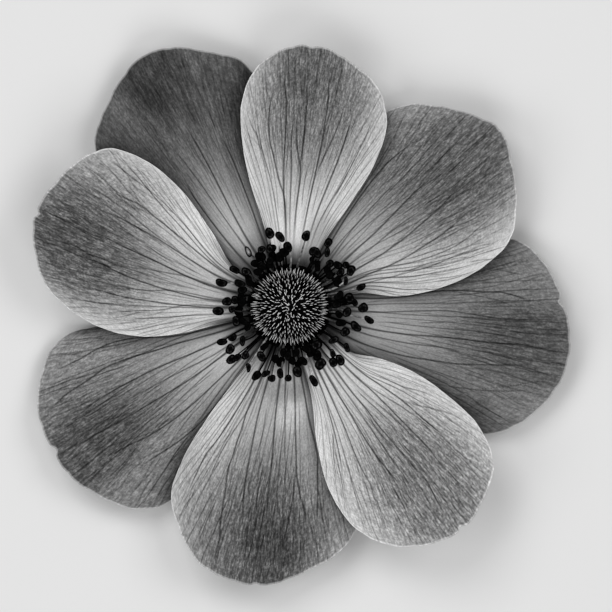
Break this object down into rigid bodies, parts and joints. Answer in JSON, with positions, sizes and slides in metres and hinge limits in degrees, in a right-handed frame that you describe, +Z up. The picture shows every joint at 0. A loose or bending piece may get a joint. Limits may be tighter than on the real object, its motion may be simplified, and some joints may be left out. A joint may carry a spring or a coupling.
{
  "type": "poppy anemone flower",
  "caption": "Single poppy anemone bloom as picked and lying face up, with broad overlapping tepals, a ring of dark stamens and a styled dome on a short cut stem.",
  "frame": {"origin": "middle of the bloom's outline in plan, on the surface that it lies on; the flower's own axis stands at x -1.83 mm, y 1.29 mm", "axes": "+Z up out of the bloom's face along the flower's axis, +Y toward the tepal at the top of the picture"},
  "size_m": [0.0809, 0.0812, 0.0139],
  "materials": {
    "tepal_top": "soft velvet matt",
    "tepal_upper_right": "soft velvet matt",
    "tepal_right": "soft velvet matt",
    "tepal_lower_right": "soft velvet matt",
    "tepal_bottom": "soft velvet matt",
    "tepal_lower_left": "soft velvet matt",
    "tepal_left": "soft velvet matt",
    "tepal_upper_left": "soft velvet matt",
    "stamens": "dark satin",
    "pistil": "fine matt relief",
    "stem": "matt"
  },
  "bodies": {
    "root": {"tepal_top": "tepal_top", "tepal_upper_right": "tepal_upper_right", "tepal_right": "tepal_right", "tepal_lower_right": "tepal_lower_right", "tepal_bottom": "tepal_bottom", "tepal_lower_left": "tepal_lower_left", "tepal_left": "tepal_left", "tepal_upper_left": "tepal_upper_left", "stamens": "stamens", "pistil": "pistil", "stem": "stem"}
  },
  "joints": []
}
